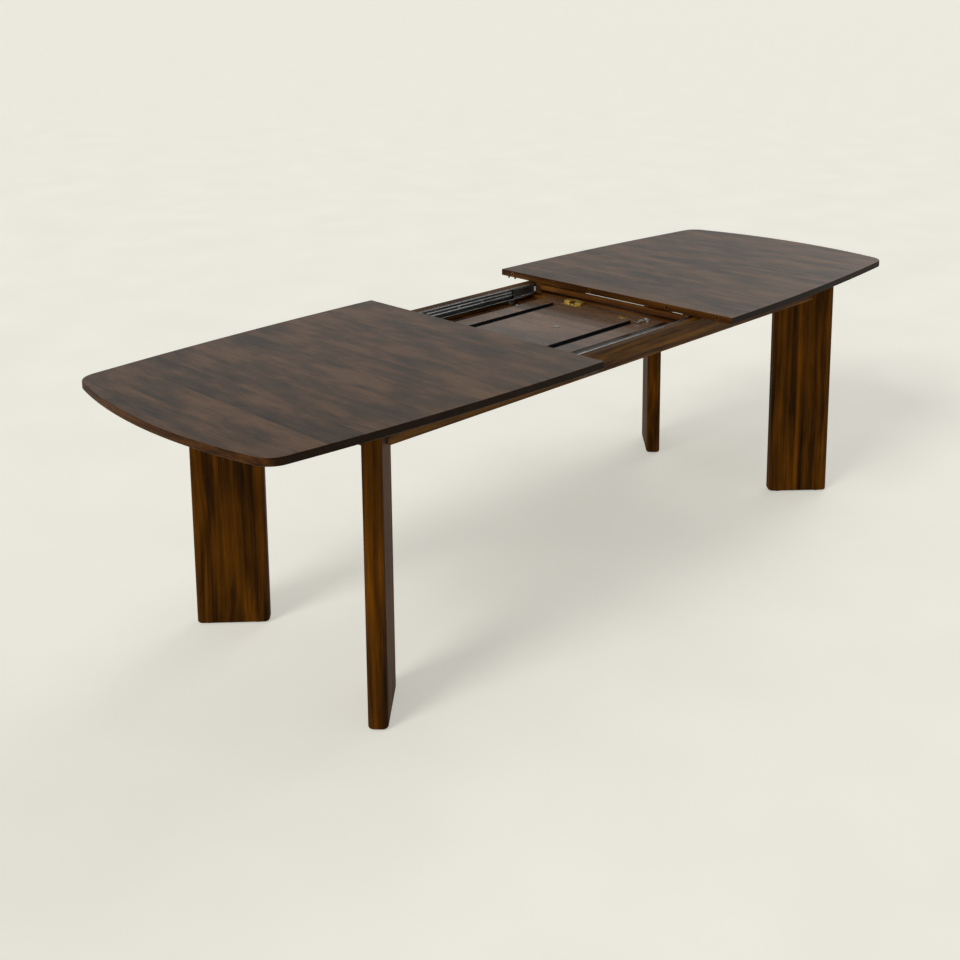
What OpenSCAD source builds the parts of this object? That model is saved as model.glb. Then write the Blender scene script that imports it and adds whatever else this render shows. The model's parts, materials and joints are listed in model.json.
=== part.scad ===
// Extending dining table: two halves of the top slide apart on ball-bearing slides, and a
// folding leaf that is stored between them swings up on parallel arms and unfolds.
// Origin on the floor under the middle of the table, +X along the length, +Z up.
// Everything is drawn with the halves pulled open and the leaf folded away below them.

/* [Top] */
// Height of the top surface above the floor
table_h = 750; // [680:5:920]
// Length of one half of the top, along the middle
half_len = 1050; // [880:5:1280]
// Width of the top where the two halves meet
top_w = 913; // [760:1:1100]
// Thickness of the top and of the leaf boards
top_t = 20; // [17:0.5:25]
// Distance between the halves when the table is open
gap = 570; // [475:5:690]
// Radius of the long bowed sides
side_r = 8300; // [7000:100:20000]
// Radius of the bowed ends
end_r = 1430; // [1190:10:3000]
// Radius of the outer corners
corner_r = 60; // [20:5:110]

/* [Legs] */
// Width of a leg plank
leg_w = 194; // [160:2:230]
// Thickness of a leg plank
leg_t = 48; // [40:1:58]
// Angle of a leg's width from the table's length
leg_angle = 43; // [40:1:50]
// Radius along the long edges of a leg
leg_edge_r = 14; // [4:1:18]
// Distance from the closed table's end to the middle of a leg
leg_end_inset = 130; // [124:1:180]
// Distance from the widest side to the middle of a leg
leg_side_inset = 150; // [140:1:170]
// Thickness of the glides under the legs
glide_t = 3; // [2:0.5:6]
// Radius of a glide
glide_r = 15; // [10:1:20]

/* [Underframe] */
// Height of the aprons and the end rails
apron_h = 59; // [54:1:70]
// Thickness of the aprons and the end rails
apron_t = 27; // [20:1:32]
// Distance from the leg's middle out to the apron's outer face
apron_out = 39; // [34:1:44]
// Gap between the underframe and the top that slides over it
apron_gap = 4; // [2:0.5:6]
// Width of the shadow gap between an apron and a leg
shadow_gap = 6; // [3:0.5:10]
// Thickness of the corner blocks that the leg bolts pass through
block_t = 34; // [28:1:38]
// Diameter of the leg bolts
bolt_d = 8; // [6:1:10]
// Clearance round a leg bolt, on the radius
bolt_gap = 0.4; // [0.2:0.1:1]
// Distance from the middle out to each cross rail
cross_rail_x = 185; // [150:5:190]
// Width of a cross rail
cross_rail_w = 40; // [30:1:50]
// Depth of a cross rail
cross_rail_h = 18; // [14:1:26]
// Width of the rails across the ends of the leaf's bay
bay_rail_w = 60; // [20:1:80]
// Height of those rails
bay_rail_h = 20; // [14:1:21]
// Width of the ledger strips along the bay's sides
ledger_w = 22; // [14:1:24]

/* [Slides] */
// Height of a slide channel
slide_h = 35; // [30:1:45]
// Depth of a slide channel
slide_d = 12.5; // [11:0.5:16]
// Sheet thickness of the slide sections
slide_t = 1.5; // [1:0.1:2]
// Diameter of the slide balls
ball_d = 5.4; // [4:0.1:6]
// Clearance on each side of a ball, and round the cages
ball_gap = 0.3; // [0.2:0.05:0.5]
// Number of balls in each row
ball_count = 12; // [6:1:16]
// Distance between balls
ball_pitch = 12.8; // [8:0.1:16]
// Distance from the middle to a ball cage when the table is open
cage_x = 189; // [160:1:210]
// Thickness of the runners that carry the top on the slides
runner_t = 20; // [14:1:26]
// Gap between a runner and its slide channel
runner_gap = 3.5; // [2.5:0.1:5]

/* [Top battens] */
// Width of the bar at the inner edge of each half
bar_w = 12; // [10:1:24]
// Height of the bar at the inner edge of each half
bar_h = 17.5; // [11:0.5:18]
// Gap between that bar and the underside of the top
bar_gap = 5; // [4:0.5:11]
// Width of a lengthways batten
batten_w = 56; // [40:1:80]
// Distance from the middle to a lengthways batten
batten_y = 172; // [80:1:180]
// Width of the batten across the outer end
end_batten_w = 32; // [22:1:36]
// Thickness of that batten
end_batten_h = 14; // [10:1:20]
// Clearance from the end rail to that batten when the table is closed
end_batten_gap = 8; // [4:1:10]
// Diameter of the alignment pins
pin_d = 8; // [6:0.5:10]
// How far an alignment pin stands out
pin_out = 8; // [5:0.5:10]

/* [Leaf] */
// Gap between the stored leaf and each half
leaf_gap = 9.5; // [9:0.5:16]
// Gap between the folded boards, and between them once unfolded
fold_gap = 0.5; // [0.4:0.1:1]
// Height of the fittings on the leaf's underside
fitting_h = 9; // [8.5:0.5:11]
// Width of the steel stiffeners let into the leaf
stiffener_w = 30; // [24:1:40]
// Depth of the stiffeners
stiffener_h = 13; // [8:0.5:14]
// Length of the stiffeners
stiffener_len = 442; // [300:2:444]
// Distance from the leaf's middle to a stiffener
stiffener_y = 155; // [100:1:160]
// Diameter of the fold hinge cups
cup_d = 12; // [8:0.5:14]

/* [Swing arms] */
// Diameter of the swing shaft
shaft_d = 10; // [8:0.5:12]
// Diameter of the small pivot pins
pivot_d = 8; // [6:0.5:9]
// Running clearance of the pivots, on the radius
pivot_gap = 0.05; // [0.02:0.01:0.08]
// Clearance of the last pivot of each linkage, on the radius
open_gap = 0.5; // [0.3:0.1:0.8]
// Place of the swing shaft across the table
shaft_y = -60; // [-100:5:-40]
// Distance between the two arms of a linkage
arm_pitch = 60; // [45:1:75]
// Thickness of an arm
arm_t = 5; // [4:0.5:6]
// Height of an arm
arm_h = 12; // [10:0.5:13]

/* [Locks] */
// Distance from a half's inner edge to a lock's pivot
lock_x = 27.5; // [24:0.5:32]
// Distance from the seam to a keeper stud
keeper_x = 14.5; // [12:0.5:18]
// Distance from the side of the table to the locks of the left half
lock_side = 20.5; // [18:0.5:30]
// Distance from the side of the table to the locks of the leaf once it is up
leaf_lock_side = 48.5; // [46:0.5:80]
// Diameter of a keeper stud
stud_d = 6; // [4:0.5:7]

/* [Hidden] */
$fn = 48;

wood = "#5a3c22";
inner_wood = "#75522f";
steel = "#b9bcc0";
dark_steel = "#2b2c2e";
brass = "#b98d3e";
white_plastic = "#e8e8e4";

// Small overrun that lets a cutter pass through a face
eps = 0.5;
seam = gap / 2;
top_z = table_h - top_t;

// Legs and the corners that hold them. At a corner, u runs outwards along the leg's width and
// v runs square to it, towards the apron.
leg_x = half_len - leg_end_inset;
leg_y = top_w / 2 - leg_side_inset;
apron_z1 = top_z - apron_gap;
apron_z0 = apron_z1 - apron_h;
apron_in = apron_out - apron_t;
apron_y0 = leg_y + apron_in;
apron_y1 = leg_y + apron_out;
leg_sin = sin(leg_angle);
leg_cos = cos(leg_angle);
// How far out along u a face of the underframe lies, at a distance v across the leg. The apron is
// on the side +1 and the end rail on the side -1.
function face_u(off, v, side) = side > 0 ? (off - v * leg_cos) / leg_sin : (off - v * leg_sin) / leg_cos;
bolt_drop = apron_h / 4;
plate_recess = 4;
head_r = 7.5;
head_h = 5.3;
washer_r = 9;
washer_t = 1.6;
head_v = leg_t / 2 + block_t + washer_t + head_h;
bolt_u = min(face_u(apron_in, head_v, 1), face_u(apron_in, head_v, -1)) - head_r - 4;
block_u0 = bolt_u - washer_r - 8;

// How far along X the underframe is clear of the corner blocks, and where the runners and the
// channels end before them
corner_x0 = leg_x + block_u0 * leg_cos - (leg_t / 2 + block_t) * leg_sin;
member_clear = 28;
channel_clear = 8;
member_x1 = corner_x0 - member_clear;
channel_x1 = corner_x0 - channel_clear;

// Slides, from the apron inwards
slide_drop = 1;
slide_z1 = apron_z1 - slide_drop;
slide_z0 = slide_z1 - slide_h;
slide_y1 = apron_y0;
slide_y0 = slide_y1 - slide_d;
runner_y1 = slide_y0 - runner_gap;
runner_y0 = runner_y1 - runner_t;
runner_lift = 3;
runner_z0 = slide_z0 + runner_lift;
race = ball_d + 2 * ball_gap;
member_z0 = slide_z0 + slide_t + race;
member_z1 = slide_z1 - slide_t - race;
web_y = slide_y1 - slide_t;
member_back = 5.5;
member_y1 = web_y - member_back;
cage_t = 1.2;
cage_back = 3;
cage_y1 = web_y - cage_back;
cage_fit = 0.6;
ball_y = cage_y1 - cage_t - ball_d / 2 - cage_fit;
cage_len = (ball_count - 1) * ball_pitch + 2 * ball_d;
screw_head_r = 4;
screw_head_t = 1.2;
slide_screw_r = 2;
slide_screw_in = 20;
bumper_len = 14;
bumper_h = 16;
pad_len = 50;
pad_w = 16;
pad_x = 90;
pad_gap = 0.4;
runner_head_r = 4.5;
runner_head_t = 2;
runner_screw_r = 2.5;
runner_screw_in = 10;
// How far each half's fittings start back from its inner edge
edge_back = 1.5;
bar_back = 2.5;

// Heights of the bars and of the folded leaf below them
bar_z1 = top_z - bar_gap;
bar_z0 = bar_z1 - bar_h;
bar_clear = 0.5;
leaf_top = bar_z0 - bar_clear - fitting_h;
upper_z0 = leaf_top - top_t;
lower_z1 = upper_z0 - fold_gap;
lower_z0 = lower_z1 - top_t;
leaf_len = gap - 2 * leaf_gap;
leaf_w = top_w / 2 - fold_gap;
fold_y = leaf_w / 2 + fold_gap / 2;
leaf_x1 = leaf_len / 2;

// Swing: the arms carry the leaf by swing_dy across and swing_dz up
pivot_drop = 10;
pivot_z = lower_z0 - pivot_drop;
swing_dy = fold_y;
swing_dz = top_z - lower_z0;
swing_deg = 2 * atan(swing_dy / swing_dz);
arm_r = swing_dz / sin(swing_deg);
ear_x = cross_rail_x;
ear_t = 4;
ear_w = 20;
ear_rim = 8.5;
foot_t = 2;
foot_out = 6;
bracket_foot = 14;
bracket_rim = 9;
bracket_below = 7;
arm_side = 4;
pin_over = 2;
arm_a_x = ear_x + ear_t / 2 + arm_side;
arm_b_x = ear_x - ear_t / 2 - arm_side - arm_t;
pivot_up = 11.5;
cross_rail_z1 = pivot_z - pivot_up;
cross_rail_z0 = cross_rail_z1 - cross_rail_h;
cross_rail_over = 5;
cross_rail_y = leaf_w / 2 + cross_rail_over;
hanger_t = 4;
hanger_w = 30;
hanger_foot = 28;
rest_t = 8;
rest_w = 20;
rest_in = 40;
rest_gap = 0.3;

// Rails and ledgers round the leaf's bay, clear of the leaf's pins and of the hangers
bay_gap = 1;
bay_x0 = leaf_x1 + pin_out + bay_gap;
bay_z1 = slide_z0 - 2;
bay_rise_y = runner_y0 - 2;
ledger_t = 8;
ledger_gap = 2;

// Locks
lever_r = lock_x + keeper_x;
lever_t = 4.5;
lock_base_t = 2;
lock_plate = [26, 34];
lock_post_r = 4;
lock_cap_r = 6;
lock_screw_r = 1.6;
lock_screw_y = 14;
lever_w = 13;
lever_boss_r = 11;
lever_lift = 0.3;
lever_room = 1;
bay_rise_z1 = leaf_top + lock_base_t + lever_lift - lever_room;
notch_gap = 0.4;
notch_r = stud_d / 2 + notch_gap;
hook_wall = 2.5;
keeper_w = 16;
cap_gap = 0.2;
lock_y = top_w / 2 - lock_side;
leaf_lock_y = top_w / 2 - leaf_lock_side;

// Pins, bushes and hinge cups
pin_ys = [75, 225, 406] * (top_w / 913);
pin_in = 20;
bush_len = 12;
bush_wall = 2;
bush_gap = 0.08;
bush_deep = 1.5;
leaf_hole_gap = 0.4;
cup_len = 20;
cup_wall = 2;
cup_hole = 12;
cup_shares = [0.3, 0.77];
stiffener_wall = 2;
disc_t = 1.5;
magnet_r = 10;
brass_disc_r = 16;
leaf_lock_rest = fold_y - leaf_lock_y;
leaf_keeper_rest = fold_y - lock_y;

module flip_x(side) {
    if (side < 0) mirror([1, 0, 0]) children();
    else children();
}

module flip_y(side) {
    if (side < 0) mirror([0, 1, 0]) children();
    else children();
}

module both_y() {
    for (side = [-1, 1]) flip_y(side) children();
}

module both_x() {
    for (side = [-1, 1]) flip_x(side) children();
}

module at_corner(sx, sy) {
    flip_x(sx) flip_y(sy) translate([leg_x, leg_y, 0]) rotate([0, 0, leg_angle]) children();
}

module all_corners() {
    for (sx = [-1, 1], sy = [-1, 1]) at_corner(sx, sy) children();
}

module box(low, high) {
    translate(low) cube(high - low);
}

// A cylinder along X or Y that starts at a point
module rod_x(start, r, len) {
    translate(start) rotate([0, 90, 0]) cylinder(r = r, h = len);
}

module rod_y(start, r, len) {
    translate(start) rotate([-90, 0, 0]) cylinder(r = r, h = len);
}

// A rectangle with true round corners
module round_rect(w, d, r) {
    square([w - 2 * r, d], center = true);
    square([w, d - 2 * r], center = true);
    for (x = [-1, 1], y = [-1, 1]) translate([x * (w / 2 - r), y * (d / 2 - r)]) circle(r);
}

// ---- Top boards ----

// Where a circle about p and a circle about q meet, on the +Y side
function circles_meet(p, rp, q, rq) =
    let (d = norm(q - p), a = (rp * rp - rq * rq + d * d) / (2 * d),
         h = sqrt(rp * rp - a * a), n = (q - p) / d)
    p + a * n + h * (n.x > 0 ? [-n.y, n.x] : [n.y, -n.x]);
function angle_of(v) = atan2(v.y, v.x);
function arc(c, r, a0, a1, n) = [for (i = [0 : n]) c + r * [cos(a0 + (a1 - a0) * i / n),
                                                           sin(a0 + (a1 - a0) * i / n)]];

end_x = seam + half_len;
side_c = [seam, top_w / 2 - side_r];
end_c = [end_x - end_r, 0];
corner_c = circles_meet(side_c, side_r - corner_r, end_c, end_r - corner_r);
side_a = angle_of(corner_c - side_c);
end_a = angle_of(corner_c - end_c);
quarter = concat(arc(side_c, side_r, 90, side_a, 24), arc(corner_c, corner_r, side_a, end_a, 12),
                 arc(end_c, end_r, end_a, 0, 16));
half_outline = concat(quarter, [for (i = [len(quarter) - 2 : -1 : 0]) [quarter[i].x, -quarter[i].y]]);

module half_board() {
    translate([0, 0, top_z]) linear_extrude(top_t) polygon(half_outline);
}

module edge_holes(x, r, depth, z) {
    for (y = pin_ys) both_y() rod_x([x, y, z], r, depth);
}

module top_left() {
    color(wood) flip_x(-1) difference() {
        half_board();
        edge_holes(seam - eps, pin_d / 2, pin_in + eps, top_z + top_t / 2);
    }
}

module top_right() {
    color(wood) difference() {
        half_board();
        edge_holes(seam - eps, pin_d / 2 + bush_wall, bush_len + eps, top_z + top_t / 2);
    }
}

module alignment_pins() {
    color(steel) flip_x(-1) edge_holes(seam - pin_out, pin_d / 2, pin_in + pin_out, top_z + top_t / 2);
}

module pin_bushes() {
    color(brass) difference() {
        edge_holes(seam, pin_d / 2 + bush_wall, bush_len, top_z + top_t / 2);
        edge_holes(seam - eps, pin_d / 2 + bush_gap, pin_out + bush_deep + eps, top_z + top_t / 2);
    }
}

// ---- Legs and underframe ----

module leg() {
    color(wood) difference() {
        translate([0, 0, glide_t]) linear_extrude(apron_z1 - glide_t) round_rect(leg_w, leg_t, leg_edge_r);
        bolt_rods(bolt_d / 2 + bolt_gap, leg_t / 2 + eps);
    }
}

// The two bolts of a corner, from -reach to reach across the leg
module bolt_rods(r, reach) {
    for (z = [apron_z0 + bolt_drop, apron_z1 - bolt_drop]) rod_y([bolt_u, -reach, z], r, 2 * reach);
}

module leg_bolts() {
    reach = leg_t / 2 + block_t;
    color(steel) all_corners() {
        bolt_rods(bolt_d / 2, reach + washer_t);
        for (z = [apron_z0 + bolt_drop, apron_z1 - bolt_drop]) both_y() {
            translate([bolt_u, reach + washer_t, z]) rotate([-90, 0, 0])
                cylinder(r = head_r, h = head_h, $fn = 6);
            difference() {
                rod_y([bolt_u, reach, z], washer_r, washer_t);
                rod_y([bolt_u, reach - eps, z], bolt_d / 2, washer_t + 2 * eps);
            }
        }
    }
}

module corner_blocks() {
    v0 = leg_t / 2;
    v1 = leg_t / 2 + block_t;
    color(inner_wood) all_corners() for (side = [-1, 1]) flip_y(side) difference() {
        translate([0, 0, apron_z0]) linear_extrude(apron_h)
            polygon([[block_u0, v0], [face_u(apron_in, v0, side), v0],
                     [face_u(apron_in, v1, side), v1], [block_u0, v1]]);
        bolt_rods(bolt_d / 2 + bolt_gap, v1 + eps);
    }
}

module shadow_plates() {
    v0 = leg_t / 2;
    v1 = v0 + shadow_gap;
    color(dark_steel) all_corners() for (side = [-1, 1]) flip_y(side)
        box([face_u(apron_in, v0, side) + 1, v0, apron_z0 + plate_recess],
            [face_u(apron_out, v1, side) - plate_recess, v1, apron_z1 - plate_recess]);
}

module foot_glides() {
    color(dark_steel) all_corners() for (u = [-1, 1])
        translate([u * leg_w / 3, 0, 0]) cylinder(r = glide_r, h = glide_t);
}

// Where a mitred rail ends beside a leg, along the rail's own length from the leg's middle
function mitre(off, side) =
    let (v = leg_t / 2 + shadow_gap, u = face_u(off, v, side))
    side > 0 ? u * leg_cos - v * leg_sin : u * leg_sin - v * leg_cos;

module apron(side) {
    xi = leg_x + mitre(apron_in, 1);
    xo = leg_x + mitre(apron_out, 1);
    color(wood) flip_y(side) translate([0, 0, apron_z0]) linear_extrude(apron_h)
        polygon([[-xi, apron_y0], [xi, apron_y0], [xo, apron_y1], [-xo, apron_y1]]);
}

module apron_front() { apron(-1); }

module apron_back() { apron(1); }

module end_rails() {
    yi = leg_y + mitre(apron_in, -1);
    yo = leg_y + mitre(apron_out, -1);
    color(inner_wood) both_x() translate([leg_x, 0, apron_z0]) linear_extrude(apron_h)
        polygon([[apron_in, -yi], [apron_in, yi], [apron_out, yo], [apron_out, -yo]]);
}

module cross_rails() {
    color(inner_wood) both_x() box([cross_rail_x - cross_rail_w / 2, -cross_rail_y, cross_rail_z0],
                                   [cross_rail_x + cross_rail_w / 2, cross_rail_y, cross_rail_z1]);
}

// Cranked steel straps from the aprons' inner faces down to the ends of the cross rails
module rail_hangers() {
    z1 = slide_z0 - 2;
    z0 = apron_z0 + 1;
    y0 = cross_rail_y - hanger_foot;
    color(dark_steel) both_x() both_y()
        translate([cross_rail_x + hanger_w / 2, 0, 0]) rotate([0, -90, 0]) linear_extrude(hanger_w)
            polygon([[z0, apron_y0], [z1, apron_y0], [z1, apron_y0 - hanger_t],
                     [z0 + hanger_t, apron_y0 - hanger_t], [cross_rail_z0, cross_rail_y],
                     [cross_rail_z0, y0], [cross_rail_z0 - hanger_t, y0],
                     [cross_rail_z0 - hanger_t, cross_rail_y + hanger_t / 2]]);
}

// Rebated rails: the ends pass under the slides, and the middle rises to just below the leaf's
// turning lock lever
module bay_rails() {
    z0 = bay_z1 - bay_rail_h;
    color(inner_wood) both_x() {
        box([bay_x0, -apron_y0, z0], [bay_x0 + bay_rail_w, apron_y0, bay_z1]);
        box([bay_x0, -bay_rise_y, z0], [bay_x0 + bay_rail_w, bay_rise_y, bay_rise_z1]);
    }
    ledger_strips();
}

// Strips on the aprons' inner faces between the hangers and the bay rails
module ledger_strips() {
    z0 = bay_z1 - bay_rail_h;
    x1 = cross_rail_x - hanger_w / 2 - ledger_gap;
    x2 = cross_rail_x + hanger_w / 2 + ledger_gap;
    color(inner_wood) both_y() {
        box([-x1, apron_y0 - ledger_w, z0], [x1, apron_y0, z0 + ledger_t]);
        both_x() box([x2, apron_y0 - ledger_w, z0], [bay_x0 - ledger_gap, apron_y0, z0 + ledger_t]);
    }
}

module slide_channels() {
    color(steel) both_y() {
        box([-channel_x1, web_y, slide_z0], [channel_x1, slide_y1, slide_z1]);
        for (z = [slide_z0, slide_z1 - slide_t])
            box([-channel_x1, slide_y0, z], [channel_x1, slide_y1, z + slide_t]);
    }
}

module slide_screws() {
    z = (slide_z0 + slide_z1) / 2;
    color(steel) both_x() both_y() for (x = [50, 360, 680] * (channel_x1 / 807)) {
        rod_y([x, web_y - screw_head_t, z], screw_head_r, screw_head_t);
        rod_y([x, web_y, z], slide_screw_r, slide_screw_in);
    }
}

module glide_pads() {
    y = (apron_y0 + apron_y1) / 2;
    color(white_plastic) both_x() both_y() for (x = [seam + pad_x, member_x1])
        box([x - pad_len / 2, y - pad_w / 2, apron_z1], [x + pad_len / 2, y + pad_w / 2, top_z - pad_gap]);
}

module pivot_brackets() {
    y0 = shaft_y - ear_rim - foot_out;
    y1 = shaft_y + arm_pitch + ear_rim + foot_out;
    color(dark_steel) both_x() difference() {
        union() {
            box([ear_x - ear_w / 2, y0, cross_rail_z1], [ear_x + ear_w / 2, y1, cross_rail_z1 + foot_t]);
            box([ear_x - ear_t / 2, y0 + foot_out, cross_rail_z1],
                [ear_x + ear_t / 2, y1 - foot_out, pivot_z + ear_rim]);
        }
        rod_x([ear_x - ear_t, shaft_y, pivot_z], shaft_d / 2 + pivot_gap, 2 * ear_t);
        rod_x([ear_x - ear_t, shaft_y + arm_pitch, pivot_z], pivot_d / 2 + pivot_gap, 2 * ear_t);
    }
}

module leaf_rests() {
    x = cross_rail_x - cross_rail_w / 2;
    y = leaf_w / 2 - rest_in;
    color(dark_steel) both_x() both_y()
        box([x, y - rest_w / 2, cross_rail_z1], [x + rest_t, y + rest_w / 2, lower_z0 - rest_gap]);
}

// ---- Parts of each sliding half ----

module runners(side) {
    color(inner_wood) flip_x(side) both_y()
        box([seam + edge_back, runner_y0, runner_z0], [member_x1, runner_y1, top_z]);
}

module slide_members(side) {
    x0 = seam + edge_back;
    color(steel) flip_x(side) both_y() {
        box([x0, runner_y1, member_z0], [member_x1, runner_y1 + slide_t, member_z1]);
        for (z = [member_z0, member_z1 - slide_t])
            box([x0, runner_y1, z], [member_x1, member_y1, z + slide_t]);
    }
}

module inner_bar(side) {
    color(inner_wood) flip_x(side)
        box([seam + bar_back, -runner_y0, bar_z0], [seam + bar_back + bar_w, runner_y0, bar_z1]);
}

module battens(side) {
    rail_x1 = leg_x + apron_out;
    end_x0 = rail_x1 + seam + end_batten_gap;
    end_batten_y = 0.2 * top_w;
    color(inner_wood) flip_x(side) {
        both_y() box([seam + bar_back + bar_w, batten_y - batten_w / 2, bar_z0],
                     [member_x1, batten_y + batten_w / 2, top_z]);
        box([end_x0, -end_batten_y, top_z - end_batten_h], [end_x0 + end_batten_w, end_batten_y, top_z]);
    }
}

module bumpers(side) {
    z = (slide_z0 + slide_z1) / 2;
    y0 = runner_y1 + slide_t;
    color(white_plastic) flip_x(side) both_y()
        box([seam + edge_back, y0, z - bumper_h / 2],
            [seam + edge_back + bumper_len, cage_y1 - cage_t - cage_fit, z + bumper_h / 2]);
}

module runner_screws(side) {
    y = (runner_y0 + runner_y1) / 2;
    margin = 40;
    color(steel) flip_x(side) both_y() for (i = [0 : 3]) {
        x = seam + margin + i * (member_x1 - seam - 2 * margin) / 3;
        translate([x, y, runner_z0]) cylinder(r = runner_head_r, h = runner_head_t);
        translate([x, y, runner_z0 + runner_head_t])
            cylinder(r = runner_screw_r, h = top_z - runner_z0 + runner_screw_in);
    }
}

module runners_left() { runners(-1); }

module runners_right() { runners(1); }

module slide_members_left() { slide_members(-1); }

module slide_members_right() { slide_members(1); }

module inner_bar_left() { inner_bar(-1); }

module inner_bar_right() { inner_bar(1); }

module battens_left() { battens(-1); }

module battens_right() { battens(1); }

module bumpers_left() { bumpers(-1); }

module bumpers_right() { bumpers(1); }

module screws_left() { runner_screws(-1); }

module screws_right() { runner_screws(1); }

// A ball cage: a C-shaped strip with a row of balls in each flange
module ball_cages(side) {
    z_low = slide_z0 + slide_t + race / 2;
    z_high = slide_z1 - slide_t - race / 2;
    color(steel) flip_x(side) both_y() {
        box([cage_x, cage_y1 - cage_t, z_low - cage_t / 2],
            [cage_x + cage_len, cage_y1, z_high + cage_t / 2]);
        for (z = [z_low, z_high]) {
            box([cage_x, ball_y - ball_d / 2 - 0.5, z - cage_t / 2],
                [cage_x + cage_len, cage_y1, z + cage_t / 2]);
            for (i = [0 : ball_count - 1])
                translate([cage_x + ball_d + i * ball_pitch, ball_y, z]) sphere(d = ball_d);
        }
    }
}

module ball_cages_left() { ball_cages(-1); }

module ball_cages_right() { ball_cages(1); }

// ---- Locks: a lever on a base plate, and a keeper stud on the other board ----
// Each is drawn with the board's underside at z = 0 and the fitting above it, the pivot at the
// origin and the lever along -X with its hook open to +Y.

module lever_shape() {
    color(steel) difference() {
        translate([0, 0, lock_base_t + lever_lift]) linear_extrude(lever_t) intersection() {
            circle(r = lever_r + notch_r + hook_wall);
            difference() {
                union() {
                    circle(r = lever_boss_r);
                    translate([-lever_r, -lever_w / 2]) square([lever_r, lever_w]);
                    translate([-lever_r, 0]) circle(r = lever_w / 2 + 2);
                }
                translate([-lever_r, 0]) circle(r = notch_r);
                translate([-lever_r - notch_r, 0]) square([2 * notch_r, lever_w]);
            }
        }
        translate([0, 0, -eps]) cylinder(r = lock_post_r + pivot_gap, h = fitting_h + 1);
    }
}

module lock_base() {
    cap_z = lock_base_t + lever_t + 2 * lever_lift;
    color(steel) {
        difference() {
            box([-lock_plate.x / 2, -lock_plate.y / 2, 0], [lock_plate.x / 2, lock_plate.y / 2, lock_base_t]);
            for (y = [-1, 1] * lock_screw_y) cylinder_at([0, y, -eps], lock_screw_r, lock_base_t + 1);
        }
        cylinder(r = lock_post_r, h = fitting_h - 1);
        cylinder_at([0, 0, cap_z], lock_cap_r, fitting_h - cap_gap - cap_z);
    }
}

module keeper(offset_list) {
    color(steel) for (y = offset_list) {
        translate([-keeper_w / 2, y - keeper_w / 2, 0]) cube([keeper_w, keeper_w, lock_base_t]);
        cylinder_at([0, y, 0], stud_d / 2, fitting_h - cap_gap);
    }
}

module cylinder_at(p, r, h) {
    translate(p) cylinder(r = r, h = h);
}

// Hangs its children from the underside of a board at z
module under(x, y, z) {
    translate([x, y, z]) mirror([0, 0, 1]) children();
}

module left_lock(side) {
    flip_y(side) under(-seam - lock_x, -lock_y, top_z) children();
}

module leaf_lock_upper() {
    translate([leaf_x1 - lock_x, leaf_lock_rest, leaf_top]) children();
}

module leaf_lock_lower() {
    under(leaf_x1 - lock_x, leaf_lock_rest, lower_z0) children();
}

module latch_bases_left() { for (side = [1, -1]) left_lock(side) lock_base(); }

module latch_lever_front() { left_lock(1) lever_shape(); }

module latch_lever_back() { left_lock(-1) lever_shape(); }

module leaf_lever_upper() { leaf_lock_upper() lever_shape(); }

module leaf_lever_lower() { leaf_lock_lower() lever_shape(); }

module keepers_right() {
    both_y() under(seam + keeper_x, 0, top_z) keeper([lock_y, leaf_lock_y]);
}

module leaf_upper_locks() {
    leaf_lock_upper() lock_base();
    translate([-leaf_x1 + keeper_x, 0, leaf_top]) keeper([leaf_keeper_rest]);
}

module leaf_lower_locks() {
    leaf_lock_lower() lock_base();
    under(-leaf_x1 + keeper_x, 0, lower_z0) keeper([leaf_keeper_rest]);
}

// ---- Swing arms ----

// A flat arm between two pivots, lying along +Y, with a hole at each end
module arm(x, y, r0, r1) {
    translate([x, y, pivot_z]) rotate([90, 0, 90]) difference() {
        linear_extrude(arm_t) {
            translate([0, -arm_h / 2]) square([arm_r, arm_h]);
            circle(d = arm_h + 4);
            translate([arm_r, 0]) circle(d = arm_h + 4);
        }
        translate([0, 0, -eps]) cylinder(r = r0, h = arm_t + 2 * eps);
        translate([arm_r, 0, -eps]) cylinder(r = r1, h = arm_t + 2 * eps);
    }
}

module swing_arms_a() {
    color(dark_steel) both_x() arm(arm_a_x, shaft_y, shaft_d / 2, pivot_d / 2 + pivot_gap);
}

module swing_shaft() {
    x1 = arm_a_x + arm_t + pin_over;
    color(steel) rod_x([-x1, shaft_y, pivot_z], shaft_d / 2, 2 * x1);
}

module swing_arms_b() {
    y = shaft_y + arm_pitch;
    color(dark_steel) both_x() {
        arm(arm_b_x, y, pivot_d / 2 - 1, pivot_d / 2 + open_gap);
        rod_x([arm_b_x - pin_over, y, pivot_z], pivot_d / 2, ear_x + ear_t / 2 - arm_b_x + 2 * pin_over);
    }
}

module leaf_brackets() {
    ya = shaft_y + arm_r;
    yb = ya + arm_pitch;
    color(dark_steel) both_x() {
        box([ear_x - ear_w / 2, ya - bracket_foot, lower_z0 - foot_t],
            [ear_x + ear_w / 2, yb + bracket_foot, lower_z0]);
        box([ear_x - ear_t / 2, ya - bracket_rim, pivot_z - bracket_below],
            [ear_x + ear_t / 2, yb + bracket_rim, lower_z0]);
        rod_x([ear_x, ya, pivot_z], pivot_d / 2, arm_a_x + arm_t + pin_over - ear_x);
        rod_x([arm_b_x - pin_over, yb, pivot_z], pivot_d / 2, ear_x - arm_b_x + pin_over);
    }
}

// ---- Leaf ----

module leaf_holes(z) {
    for (y = pin_ys) {
        rod_x([-leaf_x1 - eps, fold_y - y, z], pin_d / 2 + leaf_hole_gap, pin_out + 2 + eps);
        rod_x([leaf_x1 - pin_in, fold_y - y, z], pin_d / 2, pin_in + eps);
    }
}

module leaf_pins(z) {
    color(steel) for (y = pin_ys) rod_x([leaf_x1 - pin_in, fold_y - y, z], pin_d / 2, pin_in + pin_out);
}

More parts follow.
